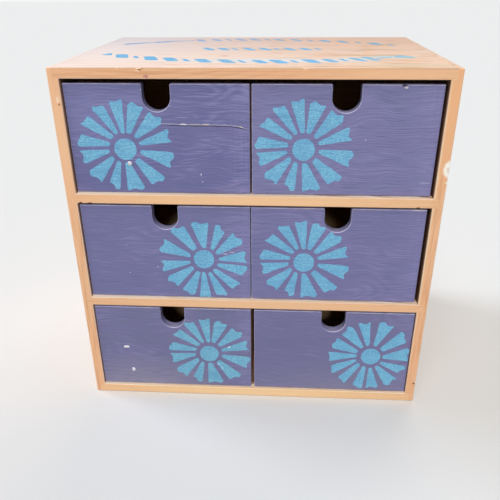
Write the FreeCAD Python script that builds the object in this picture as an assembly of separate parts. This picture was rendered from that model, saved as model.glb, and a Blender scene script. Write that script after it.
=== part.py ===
import FreeCAD, Part
import os
from FreeCAD import Vector

# A table-top thread cabinet: an open-fronted case of thin boards with two shelves, and six equal
# drawers, two side by side in each of the three bays. Each drawer is pulled by a U-shaped finger
# notch cut into the top of its front.
#
# Millimetres. X runs to the right, Y from the front to the back and Z up. The origin is the centre
# of the case's footprint, on the surface that it stands on.

# Case
case_width = 285.0
case_depth = 204.0
case_height = 284.0
board = 8.0             # sides and bottom
shelf = 7.5             # shelves and top
shelf_tops = [99.7, 191.3]
housing = 4.0           # how far top, bottom and shelves run into the sides
back_thickness = 3.0
back_lap = 4.0          # how far the back panel lies over the boards' rear edges
case_ease = 1.0         # rounding of the case's outer arrises
bay_bevel = 0.4         # bevel of the arrises round each bay's mouth

# Drawers
front_width = 132.8
front_height = 81.0
front_thickness = 8.0
drawer_length = 196.0
wall = 6.0              # side and back walls
wall_drop = 3.5         # how much lower the walls stand than the front
lap = 4.0               # depth of the rebates in the front's ends
floor_thickness = 3.0
floor_groove = 3.0
floor_raise = 5.0       # from the drawer's underside to its floor panel
notch_width = 20.2
notch_depth = 19.5
notch_mouth = 1.2       # rounding where the notch meets the top edge
front_bevel = 0.5       # bevel of the painted front's arrises
wall_bevel = 0.8        # bevel of the walls' upper arrises
running_gap = 0.3       # between a drawer and the shelf it slides on

# Where each drawer has come to rest: its tier from the bottom, the middle of its front in X, and
# how far its face stands back from the case's front edges. Nothing centres a drawer in its bay.
seats = {
    "drawer_top_left": (2, -67.8, 4.5),
    "drawer_top_right": (2, 66.4, 4.5),
    "drawer_middle_left": (1, -67.8, 3.5),
    "drawer_middle_right": (1, 65.7, 3.5),
    "drawer_bottom_left": (0, -67.8, 2.5),
    "drawer_bottom_right": (0, 67.8, 2.5),
}

# Brads: strips of flat wire with a T-shaped head, as a nail gun drives them
brad_width = 1.2
brad_thickness = 1.0
brad_head_width = 2.0
brad_head = 0.6
back_brad_length = 14.0
drawer_brad_length = 16.0
brad_inset = 16.0        # from a drawer wall's top and bottom edges to its brads

# Working lengths that leave no mark on the object
overrun = 1.0            # how far a cutting form runs past the face that it cuts
near = 0.01              # how close two places count as the same

# Derived sizes of the case
half_width = case_width / 2
front_y = -case_depth / 2
rear_y = case_depth / 2
inner_half = half_width - board
housed_half = inner_half + housing
back_y = rear_y - back_thickness
top_under = case_height - shelf
bay_floors = [board] + shelf_tops
bay_ceilings = [shelf_top - shelf for shelf_top in shelf_tops] + [top_under]


def block(x_low, x_high, y_low, y_high, z_low, z_high):
    corner = Vector(x_low, y_low, z_low)
    return Part.makeBox(x_high - x_low, y_high - y_low, z_high - z_low, corner)


def edges_where(shape, chosen):
    # The edges whose bounding box passes the test.
    return [edge for edge in shape.Edges if chosen(edge.BoundBox)]


def brad(head_point, length, turns):
    # A brad driven from head_point, its head flush with the surface and wide in Z. It runs to -Y,
    # and a quarter turn about Z swings that to +X, three quarter turns to -X.
    thin = brad_thickness / 2
    shank = block(-thin, thin, -length, 0, -brad_width / 2, brad_width / 2)
    head = block(-thin, thin, -brad_head, 0, -brad_head_width / 2, brad_head_width / 2)
    driven = shank.fuse(head).removeSplitter()
    driven.rotate(Vector(0, 0, 0), Vector(0, 0, 1), 90 * turns)
    return driven.translated(head_point)


def spread(low, high, count):
    # Evenly spaced places from low to high, both ends included.
    step = (high - low) / (count - 1)
    return [low + step * place for place in range(count)]


def save(name, shape):
    shape.exportStep("parts/" + name + ".step")


def case_form():
    # The whole case as one form, sanded after it is glued up: the outer block, rounded, less its
    # three bays. Each board takes its share of this form, so that the joints stay flush and only
    # the exposed arrises are softened.
    form = block(-half_width, half_width, front_y, rear_y, 0, case_height)
    form = form.makeFillet(case_ease, form.Edges)
    for floor_z, ceiling_z in zip(bay_floors, bay_ceilings):
        bay = block(-inner_half, inner_half, front_y - overrun, back_y, floor_z, ceiling_z)
        form = form.cut(bay)

    def bay_mouths(box):
        in_width = abs(box.Center.x) < inner_half + near
        in_height = board - near < box.Center.z < top_under + near
        return box.YMax < front_y + near and in_width and in_height

    return form.makeChamfer(bay_bevel, edges_where(form, bay_mouths))


def housed_board(z_low, z_high, y_high):
    # A board that lies across the case, with both ends let into the sides.
    return block(-housed_half, housed_half, front_y, y_high, z_low, z_high)


def back_brad_places():
    # The brads stand in the middle of the boards' rebated rear edges.
    side_x = inner_half + back_lap / 2
    low_z = board - back_lap / 2
    high_z = top_under + back_lap / 2
    places = [(x, z) for z in spread(low_z + board, high_z - board, 4) for x in (-side_x, side_x)]
    places += [(x, z) for x in spread(-inner_half / 2, inner_half / 2, 3) for z in (low_z, high_z)]
    return places


def make_case():
    form = case_form()
    back_panel = block(
        -inner_half - back_lap, inner_half + back_lap, back_y, rear_y,
        board - back_lap, top_under + back_lap,
    )
    across = {
        "bottom_board": housed_board(0, board, rear_y),
        "top_board": housed_board(top_under, case_height, rear_y),
        "lower_shelf": housed_board(bay_ceilings[0], bay_floors[1], back_y),
        "upper_shelf": housed_board(bay_ceilings[1], bay_floors[2], back_y),
    }
    left_side = block(-half_width, -inner_half, front_y, rear_y, 0, case_height)
    right_side = block(inner_half, half_width, front_y, rear_y, 0, case_height)
    boards = dict(across)
    boards["left_side"] = left_side.cut(list(across.values()))
    boards["right_side"] = right_side.cut(list(across.values()))

    brads = [brad(Vector(x, rear_y, z), back_brad_length, 0) for x, z in back_brad_places()]
    for name, blank in boards.items():
        save(name, blank.common(form).cut([back_panel] + brads))
    save("back_panel", back_panel.cut(brads))
    save("back_brads", Part.makeCompound(brads))


def make_front():
    # The front with its face at y = 0. The finger notch is a slot with a half-round end, its
    # mouth rounded and its rim bevelled. Both ends of the front are rebated at the back for the
    # side walls.
    half = front_width / 2
    reach = notch_width / 2
    round_z = front_height - notch_depth + reach
    cut_depth = front_thickness + 2 * overrun
    slot = block(-reach, reach, -overrun, front_thickness + overrun, round_z, front_height + overrun)
    slot_end = Part.makeCylinder(reach, cut_depth, Vector(0, -overrun, round_z), Vector(0, 1, 0))
    front = block(-half, half, 0, front_thickness, 0, front_height)
    front = front.cut(slot.fuse(slot_end)).removeSplitter()

    def mouth_corners(box):
        across = box.YLength > front_thickness / 2
        return across and box.ZMin > front_height - near and abs(box.Center.x) < reach + near

    def face_and_rim(box):
        on_face = box.YMax < near
        on_back = box.YMin > front_thickness - near
        of_notch = abs(box.Center.x) < reach + notch_mouth and box.ZMin > front_height - notch_depth - near
        return on_face or (on_back and of_notch)

    front = front.makeFillet(notch_mouth, edges_where(front, mouth_corners))
    front = front.makeChamfer(front_bevel, edges_where(front, face_and_rim))
    end_rebate = block(
        half - wall, half + overrun, lap, front_thickness + overrun, -overrun, front_height + overrun,
    )
    return front.cut([end_rebate, end_rebate.mirror(Vector(0, 0, 0), Vector(1, 0, 0))])


def make_walls():
    # Two side walls that run from the front's laps to the rear, and a back wall between them,
    # with their upper arrises bevelled. Each side wall's floor groove runs out at its rear end.
    half = front_width / 2
    top = front_height - wall_drop
    groove_top = floor_raise + floor_thickness

    def upper_edges(box):
        return box.ZMin > top - near

    groove_x = wall - floor_groove - half
    left_wall = block(-half, wall - half, lap, drawer_length, 0, top)
    left_wall = left_wall.makeChamfer(wall_bevel, edges_where(left_wall, upper_edges))
    left_wall = left_wall.cut(block(groove_x, 0, lap, drawer_length, floor_raise, groove_top))
    right_wall = left_wall.mirror(Vector(0, 0, 0), Vector(1, 0, 0))
    back_wall = block(wall - half, half - wall, drawer_length - wall, drawer_length, 0, top)
    back_wall = back_wall.makeChamfer(wall_bevel, edges_where(back_wall, upper_edges))
    return left_wall, right_wall, back_wall


def make_floor():
    reach = front_width / 2 - wall + floor_groove
    return block(
        -reach, reach, front_thickness - floor_groove, drawer_length - wall + floor_groove,
        floor_raise, floor_raise + floor_thickness,
    )


def drawer_brads():
    # Two brads through each side wall into the front's rebate, and two into the back wall.
    half = front_width / 2
    heights = (brad_inset, front_height - wall_drop - brad_inset)
    depths = ((lap + front_thickness) / 2, drawer_length - wall / 2)
    brads = []
    for x, turns in ((-half, 1), (half, 3)):
        for y in depths:
            brads += [brad(Vector(x, y, z), drawer_brad_length, turns) for z in heights]
    return brads


def make_drawer():
    front = make_front()
    left_wall, right_wall, back_wall = make_walls()
    floor = make_floor()
    brads = drawer_brads()
    return {
        "front": front.cut([floor] + brads),
        "left_wall": left_wall.cut(brads),
        "right_wall": right_wall.cut(brads),
        "back_wall": back_wall.cut([floor] + brads),
        "floor": floor,
        "brads": Part.makeCompound(brads),
    }


os.makedirs("parts", exist_ok=True)
make_case()
drawer = make_drawer()
for drawer_name, (tier, middle_x, set_back) in seats.items():
    place = Vector(middle_x, front_y + set_back, bay_floors[tier] + running_gap)
    for piece_name, piece in drawer.items():
        save(drawer_name + "_" + piece_name, piece.translated(place))
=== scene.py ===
import math

import bmesh
import bpy
from mathutils import Matrix, Vector, noise


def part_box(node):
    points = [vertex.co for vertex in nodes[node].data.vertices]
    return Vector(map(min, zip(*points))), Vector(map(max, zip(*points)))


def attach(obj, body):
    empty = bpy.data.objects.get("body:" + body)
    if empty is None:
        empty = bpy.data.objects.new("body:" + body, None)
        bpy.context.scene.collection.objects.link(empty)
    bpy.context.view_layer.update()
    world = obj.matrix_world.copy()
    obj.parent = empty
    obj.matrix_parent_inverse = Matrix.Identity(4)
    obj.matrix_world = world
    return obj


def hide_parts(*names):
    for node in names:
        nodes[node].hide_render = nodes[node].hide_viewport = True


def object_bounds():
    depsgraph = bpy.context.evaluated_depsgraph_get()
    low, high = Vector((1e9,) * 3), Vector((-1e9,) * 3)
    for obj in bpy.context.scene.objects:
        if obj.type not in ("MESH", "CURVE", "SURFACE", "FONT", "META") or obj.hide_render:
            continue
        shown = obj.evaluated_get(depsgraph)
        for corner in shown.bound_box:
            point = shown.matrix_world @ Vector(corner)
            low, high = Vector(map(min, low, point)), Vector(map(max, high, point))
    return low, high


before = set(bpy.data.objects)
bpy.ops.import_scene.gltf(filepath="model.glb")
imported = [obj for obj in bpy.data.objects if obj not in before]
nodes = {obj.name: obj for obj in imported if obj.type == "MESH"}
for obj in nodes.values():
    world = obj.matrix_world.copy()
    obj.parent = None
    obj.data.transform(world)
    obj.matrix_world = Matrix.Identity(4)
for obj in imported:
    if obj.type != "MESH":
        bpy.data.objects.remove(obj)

mm = 0.001
cadBox = [list(corner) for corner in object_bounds()]
caseLow, caseHigh = (Vector(corner) / mm for corner in cadBox)
tiers, sides = ("top", "middle", "bottom"), ("left", "right")
drawers = ["drawer_%s_%s" % (tier, side) for tier in tiers for side in sides]
noise.seed_set(5)            # without it noise_vector differs from run to run
print("frame loaded:", len(nodes), "nodes")

# The camera comes first: everything else is judged through it
view = {
    "lens": 40.19,                         # mm
    "place": (0.0220, -0.4945, 0.3412),    # metres
    "tilt": (63.66, 0.34, 3.26),           # degrees
}


def setCamera():
    data = bpy.data.cameras.new("camera")
    data.lens = view["lens"]
    camera = bpy.data.objects.new("camera", data)
    camera.location = view["place"]
    camera.rotation_euler = [math.radians(angle) for angle in view["tilt"]]
    bpy.context.scene.collection.objects.link(camera)
    bpy.context.scene.camera = camera


setCamera()
print("camera set")


def linear(code):
    # an sRGB hex colour as linear values
    channels = [int(code[i:i + 2], 16) / 255 for i in (1, 3, 5)]
    return [c / 12.92 if c <= 0.04045 else ((c + 0.055) / 1.055) ** 2.4 for c in channels] + [1.0]


def addNode(tree, kind, *values, named=None, stops=None, **settings):
    # values fill the node's inputs in order, named fills them by name. Each is a number, a vector,
    # a colour, an output, or a node, which stands for its first output
    made = tree.nodes.new("ShaderNode" + kind)
    for name, value in settings.items():
        setattr(made, name, value)
    pairs = list(zip([socket for socket in made.inputs if socket.enabled], values))
    pairs += [(made.inputs[name], value) for name, value in (named or {}).items()]
    for socket, value in pairs:
        if isinstance(value, bpy.types.Node):
            value = next(output for output in value.outputs if output.enabled)
        if isinstance(value, bpy.types.NodeSocket):
            tree.links.new(value, socket)
        else:
            socket.default_value = value
    if stops:
        elements = made.color_ramp.elements
        elements[0].position, elements[-1].position = stops[0][0], stops[-1][0]
        elements[0].color, elements[-1].color = stops[0][1], stops[-1][1]
        for position, colour in stops[1:-1]:
            elements.new(position).color = colour
    return made


def newMaterial(name):
    material = bpy.data.materials.new(name)
    material.use_nodes = True
    material.node_tree.nodes.clear()
    return material, material.node_tree


def placeOn(tree):
    # a point's place in the frame, in millimetres
    where = addNode(tree, "TexCoord").outputs["Object"]
    return addNode(tree, "VectorMath", where, (1000, 1000, 1000), operation="MULTIPLY")


# the edges of marks that reach less than so many mm: how ragged they are, and how far out the full
# colour holds. Small marks are ragged, chips clean, and large ones fade out like a smear
markEdges = ((4, 1.6, 0.75), (8, 0.4, 0.75), (math.inf, 0.5, 0.2))


def addMarks(tree, place, tone, marks):
    # uneven patches over tone: each mark is its middle, its reach each way and its colour
    fine = addNode(tree, "VectorMath", place, (1.6, 1.6, 1.6), operation="DIVIDE")
    uneven = addNode(tree, "Math", addNode(tree, "TexNoise", fine, 1.0, 3.0), 0.5, operation="SUBTRACT")
    for middle, reach, colour in marks:
        torn, inner = next(kind[1:] for kind in markEdges if max(reach) < kind[0])
        offset = addNode(tree, "VectorMath", place, middle, operation="SUBTRACT")
        spread = addNode(tree, "VectorMath", offset, reach, operation="DIVIDE")
        away = addNode(tree, "VectorMath", spread, operation="LENGTH")
        edge = addNode(tree, "Math", uneven, torn, away.outputs["Value"], operation="MULTIPLY_ADD")
        share = addNode(tree, "MapRange", edge, 1.1, inner)
        tone = addNode(tree, "Mix", share, tone, linear(colour), data_type="RGBA")
    return tone


def paint(piece, material):
    if piece.material_slots:
        for slot in piece.material_slots:
            slot.material = material
    else:
        piece.data.materials.append(material)


def finishPiece(name, bm, material, body):
    bmesh.ops.scale(bm, verts=bm.verts, vec=(mm, mm, mm))
    mesh = bpy.data.meshes.new(name)
    bm.to_mesh(mesh)
    bm.free()
    piece = bpy.data.objects.new(name, mesh)
    bpy.context.scene.collection.objects.link(piece)
    paint(piece, material)
    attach(piece, body)
    return piece


# Bare wood

pine = {
    "early": "#F2C197",      # the soft, pale part of each year
    "late": "#DB9E73",       # the hard, darker line that ends it
    "fibre": "#C0855A",
    "blush": "#F3B68D",      # broad pinker patches
    # painted sheen on the faces that look up, cool at the left where the window light is reflected:
    # front, middle and back, at the left end and at the right
    "sheenLeft": ("#FCE9DF", "#F5E7E1", "#D6D0D4"),
    "sheenRight": ("#F2D4BA", "#EBD3C0", "#C9B0A4"),
    # painted highlight on the upward strips at the bays' mouths
    "shelfEdgeHighlight": "#FFEFD6",
    "weathered": "#B49878",  # streaks of the grain that have greyed
    "wornAndLit": "#FBE9DA",       # where an arris has been rubbed, and a painted highlight on it
    "dustAndShade": "#5A4030",       # painted shade in the bays close round each drawer, with the dust gathered there
    "ringPitch": 7.0,        # mm between year lines, across the board
    "ringLength": 420.0,     # mm that a year line runs before it wanders
    "fibreWidth": 1.1,       # mm, drawn coarser than real fibres so that they show
    "fibreLength": 38.0,
    "bayMiddle": 142.25,     # mm: how high the middle of the three bays together is,
    "bayReach": 134.5,       # and how far they reach from it on every side
    "roughness": 0.68,
}
# how the grain runs, where in the log the board was cut, and its marks: middle, reach, colour
boards = {
    # the bottom board's front is painted lighter: painted light where little lamp light reaches it
    "bottom_board": ("X", (31, 0, 0), [((0, -102, 4), (190, 4, 9), "#FAD3A2")]),
    "top_board": ("X", (170, 40, 0), [
        ((-72.5, -102, 278.2), (1.9, 1, 1.1), "#C98A84"),     # a pink stain on the front edge
        ((-76.8, -102, 282.6), (1.7, 1.2, 0.6), "#9C6C3C"),
        ((-74.9, -102, 283.7), (1.6, 1.4, 0.5), "#9C6C3C"),
        ((-24, -40, 284), (4.0, 2.4, 2), "#D9B094"),          # a knot
        ((-24, -40, 284), (1.3, 1.0, 1), "#B98A66"),
        ((100, -102, 279.5), (70, 1.5, 7), "#F3C297"),
        ((112, -88, 284), (50, 10, 1), "#E0C6A6"),            # a creamy corner
        ((10, -66, 284), (95, 13, 1), "#DEE1E4"),             # a cool haze of thinned paint
        ((103, -44, 284), (24, 8, 1), "#B7D0D2"),
        ((74, -56, 284), (22, 6, 1), "#D3DEDF"),
        ((0, -102, 284), (600, 1.1, 1.1), "#CBA47F"),         # the front arris, darker
        ((-141.6, 0, 284), (2.4, 400, 2), "#FFFAF6"),         # the end arrises, rubbed by hands
        ((141.4, 0, 284), (2.8, 400, 2), "#FFF2EA"),
    ]),
    "lower_shelf": ("X", (350, 0, 20), [((0, -102, 96), (180, 1.5, 9), "#F0C298")]),
    "upper_shelf": ("X", (530, 90, 0), [
        ((0, -102, 187.5), (180, 1.5, 9), "#F6C99C"),
        # nicks in the lower arris, their shade painted dark
        ((124, -102, 184.1), (1.5, 1, 0.7), "#7A4E33"),
        ((-131.5, -102, 184.2), (1.4, 1, 0.7), "#8A5C3E"),
        ((-124.5, -102, 184.1), (2.2, 1, 0.6), "#8A5C3E"),
    ]),
    "left_side": ("Z", (0, 30, 60), [
        ((-138.5, -102, 236), (9, 2, 70), "#F4C49B"),
        ((-136.4, -102, 258.8), (1.3, 2, 1.0), "#BD8A64"),    # a pin knot and the pale wood over it
        ((-137.1, -102, 261.8), (1.2, 2, 2.9), "#F8D9B8"),
    ]),
    "right_side": ("Z", (90, 10, 480), [
        ((138.5, -102, 256), (9, 2, 60), "#F1B98A"),
        ((134.8, -102, 180), (1.1, 2, 200), "#FADBB6"),       # the inner arris, paler: a painted highlight, and rubbed
        ((142.9, -102, 214.2), (5.0, 3.0, 6.7), "#FFFAEE"),   # chipped to fresh wood
        # the chip's hollow, its shade painted in
        ((142.2, -102, 213.6), (1.6, 3.0, 2.6), "#E9DCCB"),
        ((142.4, -102, 204.2), (1.5, 1.2, 1.7), "#F6E2C6"),
        ((134.6, -102, 207.4), (1.4, 1, 1.1), "#F4DDBE"),
        ((140.7, -102, 19.7), (0.8, 1, 0.9), "#4A2F20"),
    ]),
}


def sandedPine(name, along, shift, tones, marks=()):
    # Pine, planed and sanded, left bare: pale wood with darker year lines drawn out along the
    # board, a fine fibre, and no shine but the little that sanding leaves
    material, tree = newMaterial(name)
    place = placeOn(tree)
    turn = {"X": (0, 0, 0), "Z": (0, math.radians(90), 0), "Y": (0, 0, math.radians(90))}[along]
    grain = addNode(tree, "Mapping", place, shift, turn)

    # each year darkens slowly and ends sharply
    wide = tones["ringPitch"] * 5
    trunk = addNode(tree, "VectorMath", grain, (tones["ringLength"], wide, wide), operation="DIVIDE")
    years = addNode(tree, "Math", addNode(tree, "TexNoise", trunk, 1.0, 1.0), 24.0, operation="MULTIPLY")
    growth = [(share, (dark, dark, dark, 1)) for share, dark in ((0, 0.1), (0.6, 0.4), (0.9, 1), (1, 0.1))]
    rings = addNode(tree, "ValToRGB", addNode(tree, "Math", years, operation="FRACT"), stops=growth)
    fine = tones["fibreWidth"]
    thread = addNode(tree, "VectorMath", grain, (tones["fibreLength"], fine, fine), operation="DIVIDE")
    fibres = addNode(tree, "TexNoise", thread, 1.0, 3.0, 0.65)
    patch = addNode(tree, "VectorMath", grain, (120, 26, 26), operation="DIVIDE")
    cloud = addNode(tree, "TexNoise", patch, 1.0, 2.0)

    strength = addNode(tree, "Math", rings, 0.45, operation="MULTIPLY")
    wood = addNode(tree, "Mix", strength, linear(tones["early"]), linear(tones["late"]), data_type="RGBA")
    dark = addNode(tree, "MapRange", fibres, 0.46, 0.7, 0.0, 0.6)
    wood = addNode(tree, "Mix", dark, wood, linear(tones["fibre"]), data_type="RGBA")
    warm = addNode(tree, "MapRange", cloud, 0.42, 0.6, 0.0, 0.5)
    wood = addNode(tree, "Mix", warm, wood, linear(tones["blush"]), data_type="RGBA")

    # pale along every arris, in places more than in others: rubbed wear and a painted highlight,
    # most at the left, where the window light falls
    spread = addNode(tree, "SeparateXYZ", place)
    litFromLeft = addNode(tree, "MapRange", spread.outputs["X"], -140.0, 60.0, 1.0, 0.6)
    below = addNode(tree, "MapRange", spread.outputs["Z"], caseHigh.z - 2.5, caseHigh.z - 1, 1.0, 0.15)
    litFromLeft = addNode(tree, "Math", litFromLeft, below, operation="MULTIPLY")
    normal = addNode(tree, "NewGeometry").outputs["Normal"]
    turned = addNode(tree, "SeparateXYZ", addNode(tree, "VectorMath", normal, operation="ABSOLUTE"))
    squarest = addNode(tree, "Math", turned.outputs["X"], turned.outputs["Y"], operation="MAXIMUM")
    squarest = addNode(tree, "Math", squarest, turned.outputs["Z"], operation="MAXIMUM")
    rub = addNode(tree, "VectorMath", place, (11, 11, 11), operation="DIVIDE")
    rubbed = addNode(tree, "MapRange", addNode(tree, "TexNoise", rub, 1.0, 3.0), 0.35, 0.55, 0.55, 1.0)
    arris = addNode(tree, "MapRange", squarest, 0.98, 0.9)
    rubbed = addNode(tree, "Math", rubbed, arris, operation="MULTIPLY")
    rubbed = addNode(tree, "Math", rubbed, litFromLeft, operation="MULTIPLY")
    wood = addNode(tree, "Mix", rubbed, wood, linear(tones["wornAndLit"]), data_type="RGBA")

    # painted sheen where light reaches a face that looks up, at the bays' mouths and on the top,
    # less along the darker fibres
    mouth = addNode(tree, "MapRange", spread.outputs["Y"], caseLow.y + 10, caseLow.y + 5)
    lid = addNode(tree, "MapRange", spread.outputs["Z"], caseHigh.z - 4, caseHigh.z - 1.5)
    reached = addNode(tree, "Math", mouth, lid, operation="MAXIMUM")
    upward = addNode(tree, "SeparateXYZ", normal).outputs["Z"]
    up = addNode(tree, "MapRange", upward, 0.6, 0.98)
    paintedSheen = addNode(tree, "Math", up, reached, operation="MULTIPLY")
    streak = addNode(tree, "Math", rings, 0.35, fibres, operation="MULTIPLY_ADD")
    least = addNode(tree, "MapRange", spread.outputs["X"], -120.0, 70.0, 0.8, 0.3)
    kept = addNode(tree, "MapRange", streak, 0.5, 0.8, 0.95, least)
    paintedSheen = addNode(tree, "Math", paintedSheen, kept, operation="MULTIPLY")
    depth = addNode(tree, "MapRange", spread.outputs["Y"], -98.0, 80.0)
    left, right = (
        addNode(tree, "ValToRGB", depth, stops=list(zip((0.0, 0.3, 1.0), map(linear, tones[end]))))
        for end in ("sheenLeft", "sheenRight")
    )
    side = addNode(tree, "MapRange", spread.outputs["X"], -125.0, 95.0)
    pale = addNode(tree, "Mix", side, left, right, data_type="RGBA")
    figure = addNode(tree, "VectorMath", grain, (30, 7, 7), operation="DIVIDE")
    grey = addNode(tree, "MapRange", addNode(tree, "TexNoise", figure, 1.0, 3.0), 0.5, 0.66)
    streaky = addNode(tree, "MapRange", side, 0.2, 1.0, 0.1, 0.8)
    greyed = addNode(tree, "Math", grey, streaky, operation="MULTIPLY")
    pale = addNode(tree, "Mix", greyed, pale, linear(tones["weathered"]), data_type="RGBA")
    pale = addNode(tree, "Mix", lid, linear(tones["shelfEdgeHighlight"]), pale, data_type="RGBA")
    wood = addNode(tree, "Mix", paintedSheen, wood, pale, data_type="RGBA")

    if tones["dustAndShade"]:
        # painted shade, with some dust, on all that bounds the bays, less towards their backs,
        # and none where the painted sheen lies
        wall, centre = tones["bayReach"], (0, 0, tones["bayMiddle"])
        middle = addNode(tree, "VectorMath", place, centre, operation="SUBTRACT")
        away = addNode(tree, "SeparateXYZ", addNode(tree, "VectorMath", middle, operation="ABSOLUTE"))
        reach = addNode(tree, "Math", away.outputs["X"], away.outputs["Z"], operation="MAXIMUM")
        inside = addNode(tree, "MapRange", reach, wall + 0.4, wall + 0.1, 0.0, 0.85)
        behind = addNode(tree, "MapRange", spread.outputs["Y"], caseLow.y + 0.5, caseLow.y + 3.5)
        inside = addNode(tree, "Math", inside, behind, operation="MULTIPLY")
        fading = addNode(tree, "MapRange", spread.outputs["Y"], caseLow.y + 12, caseLow.y + 52, 1.0, 0.3)
        inside = addNode(tree, "Math", inside, fading, operation="MULTIPLY")
        inside = addNode(tree, "Math", inside, paintedSheen, operation="SUBTRACT", use_clamp=True)
        wood = addNode(tree, "Mix", inside, wood, linear(tones["dustAndShade"]), data_type="RGBA")
    wood = addMarks(tree, place, wood, marks)

    height = addNode(tree, "Math", rings, 0.3, fibres, operation="MULTIPLY_ADD")
    relief = addNode(tree, "Bump", 0.5, 0.15 * mm, named={"Height": height})
    dull = addNode(tree, "MapRange", fibres, 0.3, 0.7, tones["roughness"] + 0.1, tones["roughness"] - 0.06)
    bare = {"Base Color": wood, "Roughness": dull, "Normal": relief, "IOR": 1.5, "Specular IOR Level": 0.2}
    addNode(tree, "OutputMaterial", addNode(tree, "BsdfPrincipled", named=bare))
    return material


for board, (along, shift, marks) in boards.items():
    name = board.replace("_", " ") + " sanded pine"
    paint(nodes[board], sandedPine(name, along, shift, pine, marks))

# inside the drawers there is no painted sheen, no painted shade and no dust
innerPine = dict(
    pine, early="#E6C59A", late="#CFA172", fibre="#B5855A", blush="#E3BD94", shelfEdgeHighlight="#EBD0AC",
    sheenLeft=("#EBD0AC",) * 3, sheenRight=("#EBD0AC",) * 3, wornAndLit="#EBD0AC", dustAndShade=None,
)
for number, drawer in enumerate(drawers):
    for wall, along in (("left_wall", "Y"), ("right_wall", "Y"), ("back_wall", "X")):
        name = drawer + "_" + wall
        shift = (number * 61 + 7, number * 37, len(wall) * 23)
        paint(nodes[name], sandedPine(name.replace("_", " ") + " sanded pine", along, shift, innerPine))

# Birch plywood, its face peeled from the log: paler, and its figure twice as broad
plywood = dict(innerPine, early="#DFC196", late="#CDA774", fibre="#B48A58", ringPitch=13.0)
paint(nodes["back_panel"], sandedPine("back birch plywood", "Z", (10, 60, 5), plywood))
for number, drawer in enumerate(drawers):
    name = drawer.replace("_", " ") + " floor birch plywood"
    paint(nodes[drawer + "_floor"], sandedPine(name, "Y", (50 * number, 9, 3), plywood))
print("bare wood done")


zinc = {
    "dull": "#8F8E8A",
    "bright": "#BDBCB6",
    "patches": 1100.0,       # to the metre, so just under a millimetre each
}


def zincSteel(name):
    # Drawn steel wire with a zinc coat: dull grey, clouded in small patches
    material, tree = newMaterial(name)
    where = addNode(tree, "TexCoord").outputs["Object"]
    patches = addNode(tree, "TexNoise", where, zinc["patches"], 3.0)
    cloud = addNode(tree, "MapRange", patches, 0.35, 0.7)
    tone = addNode(tree, "Mix", cloud, linear(zinc["dull"]), linear(zinc["bright"]), data_type="RGBA")
    dull = addNode(tree, "MapRange", patches, 0.3, 0.7, 0.34, 0.55)
    coat = {"Base Color": tone, "Metallic": 1.0, "Roughness": dull}
    addNode(tree, "OutputMaterial", addNode(tree, "BsdfPrincipled", named=coat))
    return material


steel = zincSteel("zinc coated steel")
paint(nodes["back_brads"], steel)
for drawer in drawers:
    paint(nodes[drawer + "_brads"], steel)


# Paint of the drawer fronts

brushwork = {
    "deep": "#676A94",
    "light": "#8785B4",
    "violet": "#7B73A2",
    "rim": "#8A88B0",        # where the brush ran thin over an arris, and a painted highlight there
    "upLeftHighlight": "#BDBBDC",     # painted highlight where arrises face up and left, to the light: upper arrises and the notch's foot
    "rubbed": "#C9BFC8",     # and where it has been rubbed nearly through
    "ridge": 0.8,            # mm, half the space between brush marks
    "stroke": 26.0,          # about how far a brush mark runs
    "waver": 10.0,           # the most that it rises and falls
    "turn": 42.0,            # where the brush turned, mm to the right of a front's middle
    "strayed": 7.9,          # mm that the paint runs in over the top and the ends, before its fringe
    "roughness": 0.52,
    "inside": ("#E6C59A", "#CFA172"),     # bare pine
}
# each front's body colour and how strongly its ridges stand, where painted light lies on it as
# paler patches, and its marks: middle, reach, colour, in millimetres from the middle of the front's
# lower edge (x right, y in, z up)
fronts = {
    "drawer_top_left": {
        # darker than the other fronts, partly as painted shade
        "body": "#686A9A",
        "ridges": 0.85,
        # the upper left is painted lighter: painted light
        "tinted": [((-45, 0, 62), (60, 1, 34), "#787AA9")],
        "marks": [
            ((29.7, 0, 14.9), (0.45, 1, 0.9), "#D8D6EA"),
            ((30.7, 0, 9.2), (0.4, 1, 0.6), "#C9C7E0"),
            ((17.5, 0, 57.5), (5.5, 1, 0.35), "#8C8AB6"),
        ],
    },
    "drawer_top_right": {
        "body": "#7A79A5",
        "ridges": 0.8,
        "marks": [
            ((38.4, 0.2, 80.5), (1.8, 1.5, 0.9), "#3C3648"),      # a nick in the upper arris, its shade painted dark
            ((40.0, 0, 79.1), (1.5, 1, 0.8), "#CFC8CE"),
            ((15.4, 0, 42.4), (0.5, 1, 0.4), "#CFCDE2"),
            ((61.0, 0, 10.5), (4.5, 1, 0.3), "#AFACCC"),
        ],
    },
    "drawer_middle_left": {
        "body": "#71729E",
        "ridges": 0.75,
        "marks": [
            ((-32.7, 0, 47), (0.5, 1, 0.4), "#A9A7CC"),
            ((-32.6, 0, 22), (0.7, 1, 0.5), "#B5B3D6"),
            ((-9, 0, 28), (0.6, 1, 0.7), "#A9A7CC"),
            ((46.5, 0, 40.8), (2.2, 1, 0.4), "#B7C2DA"),
            ((51.6, 0, 42.2), (2.6, 1, 0.4), "#B7C2DA"),
        ],
    },
    "drawer_middle_right": {
        "body": "#7574A1",
        "ridges": 0.75,
        "marks": [((60, 0.2, 80.7), (6.0, 1.2, 0.5), "#D5D0DC")],
    },
    "drawer_bottom_left": {
        "body": "#717195",
        "ridges": 0.65,
        # the lower part is painted lighter and warmer: painted light
        "tinted": [((-30, 0, -2), (75, 1, 34), "#8C88A1")],
        "marks": [
            ((-43, 0, 40), (2.5, 1, 1.2), "#E4E1EE"),
            ((-39, 0, 15.5), (1.5, 1, 1.9), "#DCD9E8"),
        ],
    },
    "drawer_bottom_right": {
        "body": "#717096",
        "ridges": 0.5,
        # the lower part is painted lighter: painted light
        "tinted": [((0, 0, -2), (90, 1, 34), "#807E9D")],
    },
}


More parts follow.
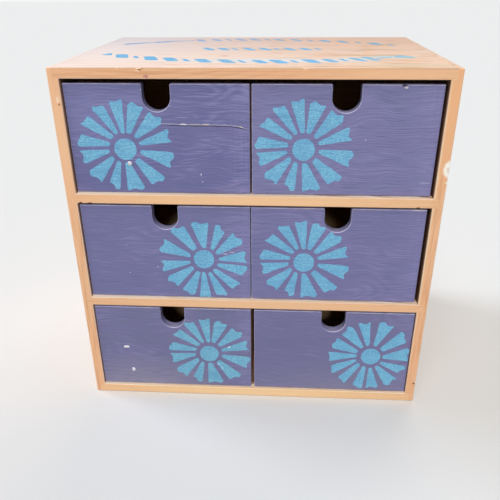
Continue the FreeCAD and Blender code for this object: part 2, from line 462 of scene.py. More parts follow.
def frontPlace(drawer):
    # the middle of the front's face at its lower edge, in millimetres
    low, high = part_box(drawer + "_front")
    return Vector(((low.x + high.x) / 2, low.y, low.z)) / mm


def localPlace(tree, drawer):
    # a point's place from there
    where = addNode(tree, "TexCoord").outputs["Object"]
    return addNode(tree, "Mapping", where, -frontPlace(drawer), (0, 0, 0), (1000, 1000, 1000))


def brushedRelief(tree, local, number):
    # level brush marks that waver, the pine's raised grain under them, and a few upright marks
    # where the brush was turned at the right-hand end
    shift = (137.0 * number, 0, 59.0 * number)     # so that no two fronts are alike
    shifted = addNode(tree, "VectorMath", local, shift, operation="ADD")
    slow = addNode(tree, "VectorMath", shifted, (32, 60, 26), operation="DIVIDE")
    swing = addNode(tree, "TexNoise", slow, 1.0, 2.0)
    waver = addNode(tree, "Math", swing, brushwork["waver"], operation="MULTIPLY")
    rise = addNode(tree, "CombineXYZ", 0.0, 0.0, waver)
    wandering = addNode(tree, "VectorMath", shifted, rise, operation="ADD")
    fine = (brushwork["stroke"], 4, brushwork["ridge"])
    stroke = addNode(tree, "VectorMath", wandering, fine, operation="DIVIDE")
    bristle = addNode(tree, "TexNoise", stroke, 1.0, 2.0, 0.55)

    wide = addNode(tree, "VectorMath", wandering, (90, 60, 24), operation="DIVIDE")
    contour = addNode(tree, "Math", addNode(tree, "TexNoise", wide, 1.0, 1.0), 30.0, operation="MULTIPLY")
    grain = addNode(tree, "Math", contour, 1.0, operation="PINGPONG")
    patch = addNode(tree, "VectorMath", shifted, (60, 60, 30), operation="DIVIDE")
    raised = addNode(tree, "MapRange", addNode(tree, "TexNoise", patch, 1.0, 1.0), 0.45, 0.6, 0.02, 0.2)
    level = addNode(tree, "Math", grain, raised, bristle, operation="MULTIPLY_ADD")

    comb = addNode(tree, "VectorMath", shifted, (1.4, 4, 30), operation="DIVIDE")
    upright = addNode(tree, "TexNoise", comb, 1.0, 1.0)
    right = addNode(tree, "SeparateXYZ", local)
    turned = addNode(tree, "MapRange", right, brushwork["turn"], brushwork["turn"] + 18, 0.0, 0.25)
    return addNode(tree, "Math", upright, turned, level, operation="MULTIPLY_ADD")


def brushedAcrylic(name, drawer, number):
    # Matt acrylic brushed over pine: muted violet-blue, with the brush marks and the raised grain
    # as fine level lines, thin and pale on every arris with a painted highlight there, and the wood left
    # bare inside
    front = fronts[drawer]
    strength = front["ridges"]
    material, tree = newMaterial(name)
    local = localPlace(tree, drawer)
    relief = brushedRelief(tree, local, number)
    wide = addNode(tree, "VectorMath", local, (50, 50, 18), operation="DIVIDE")
    cloud = addNode(tree, "TexNoise", wide, 1.0, 2.0)

    violet = addNode(tree, "MapRange", cloud, 0.42, 0.62, 0.0, 0.4)
    body = linear(front["body"])
    tone = addNode(tree, "Mix", violet, body, linear(brushwork["violet"]), data_type="RGBA")
    # the paler patches of painted light
    tone = addMarks(tree, local, tone, front.get("tinted", []))
    # darker in the furrows and paler on the crests: the paint's own variation, and a painted shade and
    # highlight that make the ridges show
    deep = addNode(tree, "MapRange", relief, 0.5, 0.36, 0.0, strength)
    tone = addNode(tree, "Mix", deep, tone, linear(brushwork["deep"]), data_type="RGBA")
    light = addNode(tree, "MapRange", relief, 0.58, 0.78, 0.0, strength)
    tone = addNode(tree, "Mix", light, tone, linear(brushwork["light"]), data_type="RGBA")

    normal = addNode(tree, "NewGeometry").outputs["Normal"]
    facing = addNode(tree, "Math", addNode(tree, "SeparateXYZ", normal).outputs["Y"], operation="ABSOLUTE")
    rub = addNode(tree, "VectorMath", local, (9, 3, 3), operation="DIVIDE")
    wear = addNode(tree, "TexNoise", rub, 1.0, 3.0)
    turnedAway = addNode(tree, "MapRange", facing, 0.97, 0.75)
    within = addNode(tree, "MapRange", facing, 0.3, 0.1, 1.0, 0.35)     # less on the faces behind it
    turnedAway = addNode(tree, "Math", turnedAway, within, operation="MULTIPLY")
    wornAndLit = addNode(tree, "MapRange", wear, 0.3, 0.5, 0.4, 1.0)
    arris = addNode(tree, "Math", turnedAway, wornAndLit, operation="MULTIPLY")
    # a painted highlight on the arrises that face up and to the left, where the light falls
    raised = addNode(tree, "VectorMath", normal, (-0.5, 0, 0.85), operation="DOT_PRODUCT")
    upLeftHighlight = addNode(tree, "MapRange", raised.outputs["Value"], 0.1, 0.5)
    rims = [linear(brushwork[kind]) for kind in ("rim", "upLeftHighlight")]
    rim = addNode(tree, "Mix", upLeftHighlight, *rims, data_type="RGBA")
    tone = addNode(tree, "Mix", arris, tone, rim, data_type="RGBA")
    thin = addNode(tree, "Math", arris, addNode(tree, "MapRange", wear, 0.58, 0.7), operation="MULTIPLY")
    tone = addNode(tree, "Mix", thin, tone, linear(brushwork["rubbed"]), data_type="RGBA")
    tone = addMarks(tree, local, tone, front.get("marks", []))

    # past where the brush strayed the wood is bare
    depth = addNode(tree, "SeparateXYZ", local).outputs["Y"]
    fringe = addNode(tree, "VectorMath", local, (9, 9, 5), operation="DIVIDE")
    fringed = addNode(tree, "Math", addNode(tree, "TexNoise", fringe, 1.0, 3.0), depth, operation="ADD")
    bare = addNode(tree, "MapRange", fringed, brushwork["strayed"], brushwork["strayed"] + 0.4)
    thread = addNode(tree, "VectorMath", local, (40, 3, 1.2), operation="DIVIDE")
    fibre = addNode(tree, "TexNoise", thread, 1.0, 3.0)
    wood = addNode(tree, "Mix", fibre, *map(linear, brushwork["inside"]), data_type="RGBA")
    tone = addNode(tree, "Mix", bare, tone, wood, data_type="RGBA")

    bump = addNode(tree, "Bump", 0.9 * strength, 0.5 * mm, named={"Height": relief})
    mean = brushwork["roughness"]
    dull = addNode(tree, "MapRange", relief, 0.4, 0.8, mean + 0.1, mean - 0.04)
    matt = {"Base Color": tone, "Roughness": dull, "Normal": bump, "IOR": 1.47, "Specular IOR Level": 0.4}
    addNode(tree, "OutputMaterial", addNode(tree, "BsdfPrincipled", named=matt))
    return material


for number, drawer in enumerate(drawers):
    name = drawer.replace("_", " ") + " brushed acrylic"
    paint(nodes[drawer + "_front"], brushedAcrylic(name, drawer, number))
print("painted fronts done")


# Stencilled daisies. Each petal is its root (radius, degrees, half width) and then its fishtail
# tip, counter-clockwise (radius, degrees), all in millimetres from the flower's middle.
daisy = {
    "disc": 8.2,             # mm, its radius
    "film": 0.08,            # thickness of the paint
    "rounding": 1.4,         # of the petals' corners
    "ragged": 0.28,          # how far the edges stray
    "petals": [
        ((11.1, -8.6, 1.45), ((36.1, -23.5), (33.7, -16), (36.8, -9), (35.3, -3.1))),
        ((11.5, 21, 1.35), ((36, 9.3), (32.9, 15.7), (35.6, 21.5), (36.2, 25.8))),
        ((11.9, 46.3, 1.55), ((33.5, 34.1), (37.4, 39.8), (33.4, 46), (34.6, 54.5))),
        ((12.2, 73.6, 1.65), ((35, 62.3), (33.7, 69.8), (36, 75.5), (33.6, 81.5))),
        ((11.8, 92, 1.45), ((36.9, 88.4), (34.6, 97), (36.4, 103.9))),
        ((12.6, 114.6, 1.35), ((31, 111.1), (34.8, 112), (35.7, 120), (37.9, 123.4), (36.4, 126.1))),
        ((12, 135.3, 1.85), ((35.4, 135.5), (34.8, 143.5), (36.9, 149.7))),
        ((11.6, 162, 1.55), ((33.8, 161), (34.6, 168), (36, 173.5), (34.6, 176.9))),
        ((12, 186.6, 1.25), ((35, 182.1), (32.3, 188), (34.8, 197.5), (33, 200))),
        ((11.2, 213, 1.55), ((33.8, 210), (35.9, 216), (32.2, 224.5), (34, 231.3))),
        ((10.6, 238.5, 1.45), ((30.2, 240.3), (29.5, 246.5), (33.1, 251), (32, 257.5))),
        ((9.9, 272.5, 1.65), ((32.6, 267.5), (30.6, 278), (33.4, 287), (32.2, 292.8))),
        ((10.7, 314.5, 2.15), ((32.7, 303), (32.9, 312.5), (36, 316.5), (35.4, 323.1))),
    ],
    # the flower's middle from the middle of the front's lower edge, and its turn in degrees
    "places": {
        "drawer_top_left": (-25.75, 33.75, 0),
        "drawer_top_right": (-28.75, 34.75, 2.5),
        "drawer_middle_left": (29.0, 35.75, 174),
        "drawer_middle_right": (-24.6, 34.5, -0.5),
        "drawer_bottom_left": (29.9, 35.0, -1),
        "drawer_bottom_right": (33.9, 37.0, 85.6),
    },
    "edge": 0.65,            # the front's arrises stay clear of the flower by this
    "paint": "#71B2D6",
    "thick": "#83C6E5",
    "thin": "#5E97C3",
    "crest": "#98D4EB",
    "furrow": 0.75,          # how strongly the ridges of the paint beneath show through
    "tinted": {"drawer_bottom_left": {"paint": "#72AFCB", "thick": "#82C2DB"}},
    "marks": {
        "drawer_middle_left": [
            ((48, 0, 43), (2.6, 1, 0.5), "#C4D6EA"),
            ((53.5, 0, 44.5), (2.0, 1, 0.5), "#C4D6EA"),
        ],
        "drawer_bottom_left": [
            ((47.5, 0, 42.5), (0.8, 1, 1.2), "#D6ECF4"),
            ((44.2, 0, 35.5), (1.0, 1, 0.7), "#C8E4F0"),
            ((37.5, 0, 24.0), (1.2, 1, 0.5), "#C4DFEF"),
            ((41.0, 0, 20.0), (0.6, 1, 1.5), "#B4D2E8"),
        ],
    },
}


def polar(radius, degrees):
    angle = math.radians(degrees)
    return Vector((radius * math.cos(angle), 0, radius * math.sin(angle)))


def addOutline(bm, corners, rounding):
    # a flat face with softened corners
    verts = [bm.verts.new(corner) for corner in corners]
    bm.faces.new(verts)
    bmesh.ops.bevel(
        bm, geom=verts, offset=rounding, offset_type="OFFSET", segments=3, profile=0.5,
        affect="VERTICES", clamp_overlap=True, material=-1,
    )


def raggedEdge(bm, amount, seed, flat):
    # what a brush leaves that was dabbed over a stencil: a bump about every two millimetres, and
    # none along the axis in which the film is flat
    longEdges = [edge for edge in bm.edges if edge.calc_length() > 4]
    bmesh.ops.subdivide_edges(bm, edges=longEdges, cuts=5)
    for vert in bm.verts:
        vert.co += noise.noise_vector(vert.co * 0.45 + Vector((seed, seed, seed))) * amount
        vert.co[flat] = 0


def cutAcross(bm, point, outward, clear=False):
    # new edges all round where a plane passes; clear drops what lies beyond it
    everything = bm.verts[:] + bm.edges[:] + bm.faces[:]
    bmesh.ops.bisect_plane(bm, geom=everything, plane_co=point, plane_no=outward, clear_outer=clear)


def thicken(bm, film, outward):
    # the flat faces become a closed film of paint, sunk 0.02 mm into what it lies on
    bmesh.ops.recalc_face_normals(bm, faces=bm.faces)
    grown = bmesh.ops.extrude_face_region(bm, geom=bm.faces[:])
    raised = [item for item in grown["geom"] if isinstance(item, bmesh.types.BMVert)]
    sunk = [vert for vert in bm.verts if vert not in set(raised)]
    bmesh.ops.translate(bm, verts=raised, vec=outward * film)
    bmesh.ops.translate(bm, verts=sunk, vec=-outward * 0.02)
    bmesh.ops.recalc_face_normals(bm, faces=bm.faces)


def makeDaisy(drawer, number, material):
    bm = bmesh.new()
    upright = Matrix.Rotation(math.radians(90), 4, "X")
    bmesh.ops.create_circle(bm, cap_ends=True, radius=daisy["disc"], segments=48, matrix=upright)
    for (radius, degrees, half), tip in daisy["petals"]:
        middle, sideways = polar(radius, degrees), polar(half, degrees + 90)
        corners = [middle - sideways] + [polar(*corner) for corner in tip] + [middle + sideways]
        addOutline(bm, corners, daisy["rounding"])
    raggedEdge(bm, daisy["ragged"], 11.0 * number, 1)
    x, z, turn = daisy["places"][drawer]
    turned = Matrix.Rotation(math.radians(-turn), 3, "Y")
    bmesh.ops.rotate(bm, verts=bm.verts, cent=(0, 0, 0), matrix=turned)
    bmesh.ops.translate(bm, verts=bm.verts, vec=(x, 0, z))
    # cut off where it would pass the front's ends and its lower edge
    low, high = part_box(drawer + "_front")
    half = (high.x - low.x) / 2 / mm - daisy["edge"]
    cutAcross(bm, (half, 0, 0), (1, 0, 0), clear=True)
    cutAcross(bm, (-half, 0, 0), (-1, 0, 0), clear=True)
    cutAcross(bm, (0, 0, daisy["edge"]), (0, 0, -1), clear=True)
    thicken(bm, daisy["film"], Vector((0, -1, 0)))
    bmesh.ops.translate(bm, verts=bm.verts, vec=frontPlace(drawer))
    finishPiece(drawer.replace("drawer", "daisy"), bm, material, drawer)


def dabbedBlue(tree, place, relief, tones):
    # sky blue, mottled by the nearly dry brush: its colour, height and roughness
    dab = addNode(tree, "VectorMath", place, (1.7, 2.2, 1.0), operation="DIVIDE")
    dabs = addNode(tree, "TexNoise", dab, 1.0, 2.0, 0.6)
    patch = addNode(tree, "VectorMath", place, (14, 14, 9), operation="DIVIDE")
    thick = addNode(tree, "MapRange", addNode(tree, "TexNoise", patch, 1.0, 2.0), 0.4, 0.62, 0.0, 0.5)
    tone = addNode(tree, "Mix", thick, linear(tones["paint"]), linear(tones["thick"]), data_type="RGBA")
    thin = addNode(tree, "MapRange", dabs, 0.5, 0.38, 0.0, 0.65)
    tone = addNode(tree, "Mix", thin, tone, linear(tones["thin"]), data_type="RGBA")
    crest = addNode(tree, "MapRange", dabs, 0.53, 0.68, 0.0, 0.6)
    tone = addNode(tree, "Mix", crest, tone, linear(tones["crest"]), data_type="RGBA")
    furrow = addNode(tree, "MapRange", relief, 0.52, 0.4, 0.0, tones["furrow"])
    tone = addNode(tree, "Mix", furrow, tone, linear(tones["thin"]), data_type="RGBA")
    height = addNode(tree, "Math", dabs, 0.5, relief, operation="MULTIPLY_ADD")
    return tone, height, addNode(tree, "MapRange", dabs, 0.3, 0.7, 0.6, 0.45)


def stencilAcrylic(name, drawer, number):
    # Acrylic dabbed through a stencil: matt, its mottling a millimetre across, with the ridges of
    # the paint beneath still showing through
    material, tree = newMaterial(name)
    local = localPlace(tree, drawer)
    strength = fronts[drawer]["ridges"]
    tones = dict(daisy, furrow=daisy["furrow"] * strength, **daisy["tinted"].get(drawer, {}))
    tone, height, dull = dabbedBlue(tree, local, brushedRelief(tree, local, number), tones)
    tone = addMarks(tree, local, tone, daisy["marks"].get(drawer, []))
    bump = addNode(tree, "Bump", 0.7 * strength + 0.2, 0.4 * mm, named={"Height": height})
    matt = {"Base Color": tone, "Roughness": dull, "Normal": bump, "IOR": 1.47, "Specular IOR Level": 0.4}
    addNode(tree, "OutputMaterial", addNode(tree, "BsdfPrincipled", named=matt))
    return material


for number, drawer in enumerate(drawers):
    name = drawer.replace("drawer", "daisy").replace("_", " ") + " stencilled acrylic"
    makeDaisy(drawer, number, stencilAcrylic(name, drawer, number))
print("daisies done")


# Stencilled rope lines on the top: strokes that lean to the left, mostly long, long, short
rope = {
    "film": 0.05,
    "rounding": 3.0,
    "ragged": 0.5,
    "lean": 25.0,            # degrees from straight back
    "upright": 0.08,         # and so much less for each mm from the middle
    "middle": -15.0,
    # each stroke's corners from its middle before it leans, x to the right and y to the back: long,
    # narrow, broad, short, wedge, rhomb
    "shapes": {
        "l": ((-4.4, -9.6), (4.8, -9.0), (4.6, 9.4), (-4.8, 9.0)),
        "n": ((-3.4, -8.8), (4.0, -8.2), (3.6, 8.6), (-3.8, 8.4)),
        "b": ((-5.6, -10.6), (4.7, -11.0), (5.2, 9.6), (-4.0, 10.2)),
        "s": ((-1.9, -6.3), (1.8, -6.0), (1.7, 6.4), (-1.8, 6.0)),
        "w": ((-5.2, -3.6), (4.2, -7.0), (5.0, 8.4)),
        "r": ((-1.9, -9.4), (4.9, -8.8), (1.8, 9.2), (-4.9, 8.8)),
        # dragged, tapered and end strokes, which lie along the line
        "d": ((-15.3, -12.5), (-0.9, -4), (13.9, 5.6), (14.7, 9.2), (1.2, 5), (-10.8, -0.5), (-14.9, -5)),
        "t": ((-7.9, -4.6), (-0.7, -2.2), (7.0, 1.6), (7.6, 3.8), (0.5, 1.6), (-7.0, -1.8)),
        "e": ((-8.6, -5.5), (5.0, -9.0), (9.6, -2.6), (1.0, 9.0)),
    },
    "rows": {
        "rope_front": {
            "apex": (5, -71),     # the middle of its bow
            "bow": 215,           # its radius: to the front, or to the back where negative
            # where along it the paint has faded, to what and by how much
            "fading": (
                (-130, "#8FB4C4", 0.0), (40, "#8FB4C4", 0.1), (90, "#8FB4BE", 0.45), (125, "#9CC0C0", 0.85),
            ),
            # each a shape and a place in x
            "strokes": "w-120 b-105 s-92 b-79.4 l-63 s-50.6 l-37.6 l-20 s-8.6 n4.4 l18 s29.4 l41.8 n55.6 "
                       "s66 r76.4 r86.5 t97.4 e111.5",
        },
        "rope_middle": {
            "apex": (0, 4),
            "bow": 4000,
            "fading": ((-60, "#8FA6B8", 0.1), (60, "#8FA6B8", 0.3)),
            "strokes": "n-42 n-29.4 s-19.6 n-7.6 n5.8 s16 n26.5 n39.8 s50.4",
        },
        "rope_back": {
            "apex": (-6, 79),
            "bow": -190,
            "fading": (
                (-125, "#97A2C4", 0.75), (-50, "#8999BC", 0.65), (20, "#8294B0", 0.6),
                (60, "#6C8EA2", 0.65), (120, "#70929E", 0.7),
            ),
            "strokes": "d-111.5 d-86.8 t-69.5 n-57.6 n-43 s-31.5 n-20 n-6 s6 n17 n33.6 s46.3 n60.2 n76 "
                       "s89.6 l103.4 s116",
        },
    },
    "paint": "#4AABDC",
    "thick": "#5AB6E4",
    "thin": "#6CA2C6",
    "crest": "#74C2E8",
    "furrow": 0.55,          # how strongly the wood's fibre shows through
    "fadingEnd": 130.0,      # the fading's colours are given from here on the left to here on the right
}


def addStroke(bm, corners, along, back):
    lean = rope["lean"] - rope["upright"] * abs(along - rope["middle"])
    slope, place = math.tan(math.radians(lean)), Vector((along, back, 0))
    addOutline(bm, [place + Vector((x - slope * y, y, 0)) for x, y in corners], rope["rounding"])


def makeRope(name, material):
    row = rope["rows"][name]
    (apexX, apexY), bow = row["apex"], row["bow"]
    bm = bmesh.new()
    for stroke in row["strokes"].split():
        x = float(stroke[1:])
        y = apexY + bow - math.copysign(math.sqrt(bow ** 2 - (x - apexX) ** 2), bow)
        addStroke(bm, rope["shapes"][stroke[0]], x, y)
    raggedEdge(bm, rope["ragged"], len(name), 2)
    thicken(bm, rope["film"], Vector((0, 0, 1)))
    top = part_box("top_board")[1].z / mm
    bmesh.ops.translate(bm, verts=bm.verts, vec=(0, 0, top - rope["film"]))
    finishPiece(name, bm, material, "case")


def ropeAcrylic(name, fading):
    # The same blue, dabbed thinly on bare sanded pine, so its fibre shows and it looks chalky
    material, tree = newMaterial(name)
    place = placeOn(tree)
    fine = pine["fibreWidth"]
    thread = addNode(tree, "VectorMath", place, (pine["fibreLength"], fine, fine), operation="DIVIDE")
    fibres = addNode(tree, "TexNoise", thread, 1.0, 3.0, 0.65)
    tone, height, dull = dabbedBlue(tree, place, fibres, rope)
    # the ramp's colour is what it fades to and its alpha how far
    end = rope["fadingEnd"]
    along = addNode(tree, "MapRange", addNode(tree, "SeparateXYZ", place), -end, end)
    stops = [((x + end) / (2 * end), linear(colour)[:3] + [share]) for x, colour, share in fading]
    tinted = addNode(tree, "ValToRGB", along, stops=stops)
    tone = addNode(tree, "Mix", tinted.outputs["Alpha"], tone, tinted, data_type="RGBA")
    gap = addNode(tree, "VectorMath", place, (6, 2.2, 2.2), operation="DIVIDE")
    bare = addNode(tree, "MapRange", addNode(tree, "TexNoise", gap, 1.0, 3.0, 0.6), 0.58, 0.68, 0.0, 0.5)
    # the gaps show the top's painted sheen
    tone = addNode(tree, "Mix", bare, tone, linear(pine["sheenRight"][1]), data_type="RGBA")
    bump = addNode(tree, "Bump", 0.5, 0.15 * mm, named={"Height": height})
    matt = {"Base Color": tone, "Roughness": dull, "Normal": bump, "IOR": 1.47, "Specular IOR Level": 0.2}
    addNode(tree, "OutputMaterial", addNode(tree, "BsdfPrincipled", named=matt))
    return material


wornTop = {
    # dents knocked into its front arris: where along it, how far each way, and how deep
    "dents": ((-77.8, 3.0, 0.9), (36.6, 2.6, 0.6), (-92.8, 1.4, 0.3)),
    "arris": 1.3,            # mm, what counts as its rounded arris
    "blow": (0, 0.5, -0.8),  # where a dent pushes the wood
}


def makeWornTop():
    # The top board again, its upper face lower by the paint's thickness so that the rope lines lie
    # flush with the case's full height
    source = nodes["top_board"]
    bm = bmesh.new()
    bm.from_mesh(source.data)
    bmesh.ops.scale(bm, verts=bm.verts, vec=(1000, 1000, 1000))
    bmesh.ops.remove_doubles(bm, verts=bm.verts, dist=0.001)
    low, high = (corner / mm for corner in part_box("top_board"))
    for middle, reach, depth in wornTop["dents"]:
        for step in (-1, -0.6, -0.2, 0.3, 1):
            cutAcross(bm, (middle + step * reach, 0, 0), (1, 0, 0))
    cutAcross(bm, (0, low.y + 2, 0), (0, 1, 0))       # what a dent moves ends here
    for vert in bm.verts:
        if vert.co.z > high.z - 0.001:
            vert.co.z -= rope["film"]
        onArris = vert.co.z > high.z - wornTop["arris"] and vert.co.y < low.y + wornTop["arris"]
        for middle, reach, depth in wornTop["dents"]:
            share = 1 - abs(vert.co.x - middle) / reach
            if onArris and share > 0:
                vert.co += Vector(wornTop["blow"]) * depth * share
    wood = source.material_slots[0].material
    piece = finishPiece("worn_top_board", bm, wood, "case")
    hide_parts("top_board")


makeWornTop()
for name, row in rope["rows"].items():
    makeRope(name, ropeAcrylic(name.replace("_", " ") + " stencilled acrylic", row["fading"]))
print("top done")


# A split along the grain of the top left front: its upper lip stands proud over a crack whose shade is
# painted dark
split = {
    # x and z from the middle of the front's lower edge
    "path": (
        (-11, 52.4), (4, 52.5), (19, 52.05), (34, 52.0), (44, 51.9), (53, 51.6), (60, 50.6), (65.8, 48.9),
    ),
    "closed": 2.0,           # up to here the crack is all but shut
    "lip": 0.8,              # mm: how high the lip and the crack are, and how far the lip stands out
    "crack": 0.75,
    "lift": 0.35,
    "wander": 0.25,
    # the paint on the lip where it is dull and where it is pale, and the crack's painted shade with its
    # dust
    "paint": ("#8486AE", "#9E9AB6"),
    "dustAndShade": ("#3A3648", "#555074"),
    "blueCrackShade": "#6A6F9C",   # the crack's painted shade where it runs into the daisy
    # middle, reach and colour of the bits of bare wood
    "bare": (
        (18.5, 2.6, "#D2CCD8"), (27.0, 4.5, "#A5A1AC"), (34.5, 3.2, "#BFB2B8"), (60.5, 1.8, "#C4BEAE"),
    ),
}


def splitHeight(x):
    for (x0, z0), (x1, z1) in zip(split["path"], split["path"][1:]):
        if x <= x1:
            return z0 + (z1 - z0) * (x - x0) / (x1 - x0)
    return split["path"][-1][1]


def makeSplit():
    # a ribbon along the path, bent across: the crack lies nearly flush, and the lip rises steeply
    # from it and falls away above
    start, end = split["path"][0][0], split["path"][-1][0]
    bm = bmesh.new()
    laid = Matrix.Rotation(math.radians(90), 4, "X")
    bmesh.ops.create_grid(bm, x_segments=90, y_segments=4, size=1.0, matrix=laid)
    for vert in bm.verts:
        share = (vert.co.x + 1) / 2
        row = round((vert.co.z + 1) * 2)      # 0 at the crack's lower edge, 4 at the lip's top
        x = start + (end - start) * share
        wander = noise.noise(Vector((x * 0.5, 0, 3.0))) * split["wander"]
        taper = min(1.0, 5 * share, 16 * (1 - share)) + 0.02
        lip = split["lip"] * taper * (1 + 0.5 * noise.noise(Vector((x * 0.3, 9.0, 0))))
        crack = split["crack"] * taper * (1 + 0.6 * noise.noise(Vector((x * 0.2, 4.0, 0))))
        if x < split["closed"]:
            crack *= 0.3
        lift = split["lift"] * taper * (0.8 + 0.6 * noise.noise(Vector((x * 0.4, 0, 21.0))))
        across = (-crack, 0.0, 0.1 * lip, 0.6 * lip, lip)[row]
        outward = (-0.03, -0.04, -lift, -0.7 * lift, 0)[row]
        vert.co = Vector((x, outward, splitHeight(x) + wander + across))
    bmesh.ops.recalc_face_normals(bm, faces=bm.faces)
    # the faces that lie nearly flush below the lip carry the open crack's painted shade
    for face in bm.faces:
        face.material_index = int(all(vert.co.y > -0.045 for vert in face.verts))
    # its sides run a little way into the front, and a face behind closes it
    outer = [edge for edge in bm.edges if edge.is_boundary]
    grown = bmesh.ops.extrude_edge_only(bm, edges=outer)
    sunk = [item for item in grown["geom"] if isinstance(item, bmesh.types.BMVert)]
    bmesh.ops.translate(bm, verts=sunk, vec=(0, 0.05, 0))
    bmesh.ops.holes_fill(bm, edges=[edge for edge in bm.edges if edge.is_boundary])
    bmesh.ops.recalc_face_normals(bm, faces=bm.faces)
    bmesh.ops.translate(bm, verts=bm.verts, vec=frontPlace("drawer_top_left"))
    lifted, crack = splitPaint("split brushed acrylic"), openCrack("open crack in pine")
    piece = finishPiece("split_top_left", bm, lifted, "drawer_top_left")
    piece.data.materials.append(crack)


def splitPaint(name):
    # Acrylic cracked along a split: pale where it has lifted, blue inside the daisy, gone in places
    material, tree = newMaterial(name)
    local = localPlace(tree, "drawer_top_left")
    flake = addNode(tree, "VectorMath", local, (1.5, 1, 0.6), operation="DIVIDE")
    flakes = addNode(tree, "TexNoise", flake, 1.0, 3.0)
    tone = addNode(tree, "Mix", flakes, *map(linear, split["paint"]), data_type="RGBA")
    closed = split["closed"]
    inDaisy = addNode(tree, "MapRange", addNode(tree, "SeparateXYZ", local), closed + 0.6, closed)
    tone = addNode(tree, "Mix", inDaisy, tone, linear(daisy["paint"]), data_type="RGBA")
    marks = [((x, 0, splitHeight(x)), (reach, 2, 1.6), colour) for x, reach, colour in split["bare"]]
    tone = addMarks(tree, local, tone, marks)
    bump = addNode(tree, "Bump", 0.5, 0.2 * mm, named={"Height": flakes})
    lifted = {"Base Color": tone, "Roughness": 0.6, "Normal": bump, "IOR": 1.47}
    addNode(tree, "OutputMaterial", addNode(tree, "BsdfPrincipled", named=lifted))
    return material


def openCrack(name):
    # Pine split open along the grain, with years of dust in it: the shade in the open crack painted
    # as a dark, dull thread of a line
    material, tree = newMaterial(name)
    local = localPlace(tree, "drawer_top_left")
    streak = addNode(tree, "VectorMath", local, (5, 1, 0.6), operation="DIVIDE")
    dustAndShade = addNode(tree, "TexNoise", streak, 1.0, 3.0)
    deep = addNode(tree, "MapRange", dustAndShade, 0.35, 0.65)
    tone = addNode(tree, "Mix", deep, *map(linear, split["dustAndShade"]), data_type="RGBA")
    inDaisy = addNode(tree, "MapRange", addNode(tree, "SeparateXYZ", local), 9.0, 1.0)
    tone = addNode(tree, "Mix", inDaisy, tone, linear(split["blueCrackShade"]), data_type="RGBA")
    dull = addNode(tree, "MapRange", dustAndShade, 0.3, 0.7, 0.95, 0.8)
    dusty = {"Base Color": tone, "Roughness": dull, "IOR": 1.47}
    addNode(tree, "OutputMaterial", addNode(tree, "BsdfPrincipled", named=dusty))
    return material


makeSplit()


# Drops of white paint that dried on the fronts
drops = {
    # place from the middle of the front's lower edge, width, height and how far they stand out
    "places": {
        "drawer_top_left": [(-23.6, 23.0, 3.2, 3.4, 1.1)],
        "drawer_bottom_left": [(-43.0, 40.0, 5.0, 2.3, 0.35), (-39.0, 15.5, 2.8, 3.6, 0.4)],
    },
    "tilt": 12.0,            # degrees that their upper ends lean
    "uneven": 0.18,
    "white": "#EEECF2",
    "dusty": "#CFC9D0",
    "patches": 1000.0,       # to the metre, so a millimetre each
}


def driedPaint(name):
    # A drop of white household paint, dried hard: a little gloss, yellowed and dusty in patches
    material, tree = newMaterial(name)
    where = addNode(tree, "TexCoord").outputs["Object"]
    patches = addNode(tree, "TexNoise", where, drops["patches"], 3.0)
    dusty = addNode(tree, "MapRange", patches, 0.4, 0.7)
    tone = addNode(tree, "Mix", dusty, linear(drops["white"]), linear(drops["dusty"]), data_type="RGBA")
    shine = addNode(tree, "MapRange", patches, 0.3, 0.7, 0.25, 0.5)
    dried = {"Base Color": tone, "Roughness": shine, "IOR": 1.5}
    addNode(tree, "OutputMaterial", addNode(tree, "BsdfPrincipled", named=dried))
    return material


def makeDrops(drawer, material):
    bm = bmesh.new()
    tilt = Matrix.Rotation(math.radians(-drops["tilt"]), 3, "Y")
    for x, z, width, height, stand in drops["places"][drawer]:
        grown = bmesh.ops.create_icosphere(bm, subdivisions=3, radius=1.0)["verts"]
        for vert in grown:
            vert.co *= 1 + drops["uneven"] * noise.noise(vert.co * 1.3 + Vector((x, 0, z)))
        bmesh.ops.scale(bm, verts=grown, vec=(width / 2, stand, height / 2))
        bmesh.ops.rotate(bm, verts=grown, cent=(0, 0, 0), matrix=tilt)
        bmesh.ops.translate(bm, verts=grown, vec=(x, 0, z))
    bmesh.ops.translate(bm, verts=bm.verts, vec=frontPlace(drawer))
    piece = finishPiece(drawer.replace("drawer", "drops"), bm, material, drawer)
    piece.data.shade_smooth()


whitePaint = driedPaint("dried white paint")
for drawer in drops["places"]:
    makeDrops(drawer, whitePaint)
print("wear done")


# Studio: a pale floor and soft light

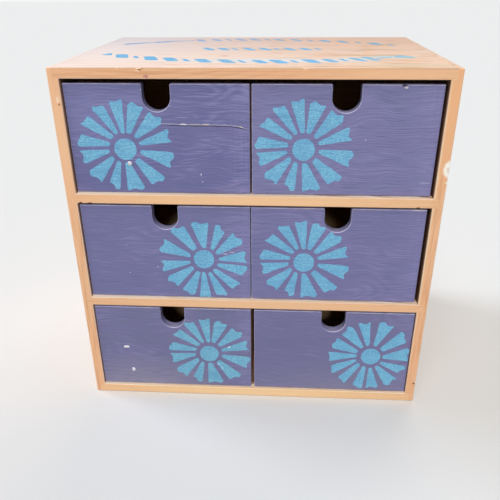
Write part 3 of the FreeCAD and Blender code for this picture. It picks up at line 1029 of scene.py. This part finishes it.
studio = {
    "floor": "#EBEAE7",
    "bounce": "#A9A7A2",     # what the floor sends back up, so that recesses stay dark
    "backdrop": 0.93,        # how bright the world looks, and how strongly it lights the cabinet
    "sky": 0.15,
    "lamps": {               # strength, azimuth, elevation and width in degrees, colour
        "main": (1.78, 3, 27, 10, "#FFFFFF"),
        "high": (0.9, -8, 62, 30, "#FFFFFF"),
        "window": (2.0, -105, 25, 30, "#E6EFFF"),
        "rear": (0.65, 160, 45, 40, "#FFFFFF"),
    },
}


def seenItself(tree, *rays):
    # 1 for the rays that show a surface itself, 0 for those that only light the cabinet from it
    path = addNode(tree, "LightPath")
    seen = path.outputs["Is Camera Ray"]
    for ray in rays:
        seen = addNode(tree, "Math", seen, path.outputs[ray], operation="MAXIMUM")
    return seen


def makeStudio():
    bm = bmesh.new()
    bmesh.ops.create_grid(bm, x_segments=1, y_segments=1, size=8.0)
    mesh = bpy.data.meshes.new("floor")
    bm.to_mesh(mesh)
    bm.free()
    floor = bpy.data.objects.new("floor", mesh)
    bpy.context.scene.collection.objects.link(floor)
    material, tree = newMaterial("pale floor")
    seen = seenItself(tree, "Is Glossy Ray")
    tone = addNode(tree, "Mix", seen, linear(studio["bounce"]), linear(studio["floor"]), data_type="RGBA")
    matt = {"Base Color": tone, "Roughness": 0.9, "Specular IOR Level": 0.0}
    addNode(tree, "OutputMaterial", addNode(tree, "BsdfPrincipled", named=matt))
    paint(floor, material)

    world = bpy.data.worlds.new("studio")
    bpy.context.scene.world = world
    world.use_nodes = True
    tree = world.node_tree
    tree.nodes.clear()
    seen = seenItself(tree, "Is Glossy Ray", "Is Transmission Ray")
    strength = addNode(tree, "MapRange", seen, 0.0, 1.0, studio["sky"], studio["backdrop"])
    addNode(tree, "OutputWorld", addNode(tree, "Background", (1, 1, 1, 1), strength))

    for name, (strength, azimuth, elevation, width, colour) in studio["lamps"].items():
        data = bpy.data.lights.new(name, "SUN")
        data.energy = strength
        data.angle = math.radians(width)
        data.color = linear(colour)[:3]
        lamp = bpy.data.objects.new(name, data)
        lamp.rotation_euler = (math.radians(90 - elevation), 0, math.radians(azimuth))
        bpy.context.scene.collection.objects.link(lamp)


makeStudio()
bpy.context.scene.view_settings.view_transform = "Standard"
print("studio done")
